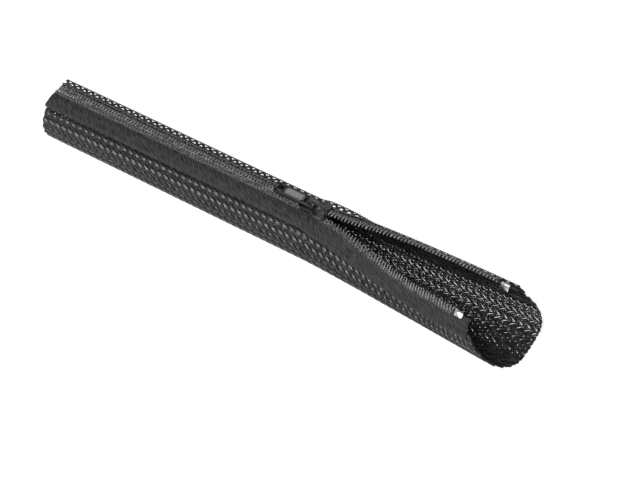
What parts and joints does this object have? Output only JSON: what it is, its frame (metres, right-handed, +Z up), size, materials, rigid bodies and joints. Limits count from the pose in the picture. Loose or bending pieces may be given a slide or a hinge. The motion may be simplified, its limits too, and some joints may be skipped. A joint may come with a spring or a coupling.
{
  "type": "zipped braided cable sleeve",
  "caption": "Braided monofilament cable sleeve, round and flexible, with a coil zip along its top, partly open, a slider with a pull tab and metal end stops.",
  "frame": {"origin": "middle of the footprint, on the surface that the sleeve lies on", "axes": "+X along the sleeve towards its open end, +Z up through the zip"},
  "size_m": [0.197, 0.0302, 0.0255],
  "materials": {
    "braid": "satin monofilament, dark grey",
    "tape": "woven, matte",
    "coil": "glossy monofilament",
    "cord": "matte",
    "thread": "satin sewing thread",
    "end_stop": "bright",
    "slider": "black satin paint on a die casting",
    "pull_tab": "black satin paint"
  },
  "bodies": {
    "sleeve": {"braid": "braid", "far_net": "braid", "near_tape": "tape", "far_tape": "tape", "near_coil": "coil", "far_coil": "coil", "near_core_cord": "cord", "far_core_cord": "cord", "near_coil_stitching": "thread", "far_coil_stitching": "thread", "near_seam_stitching": "thread", "far_edge_stitching": "thread", "near_end_stop": "end_stop", "far_end_stop": "end_stop"},
    "slider": {"slider_body": "slider"},
    "pull": {"pull_tab": "pull_tab"}
  },
  "joints": [
    {"name": "slider_slide", "type": "slide", "parent": "sleeve", "child": "slider", "axis": [-1, 0, 0], "range_m": [0, 0.1], "deforming": ["near_coil", "far_coil"]},
    {"name": "pull_hinge", "type": "hinge", "parent": "slider", "child": "pull", "pos_m": [0.0138, 0.00043, 0.02395], "axis": [0, 1, 0], "range_deg": [0, 160]}
  ]
}
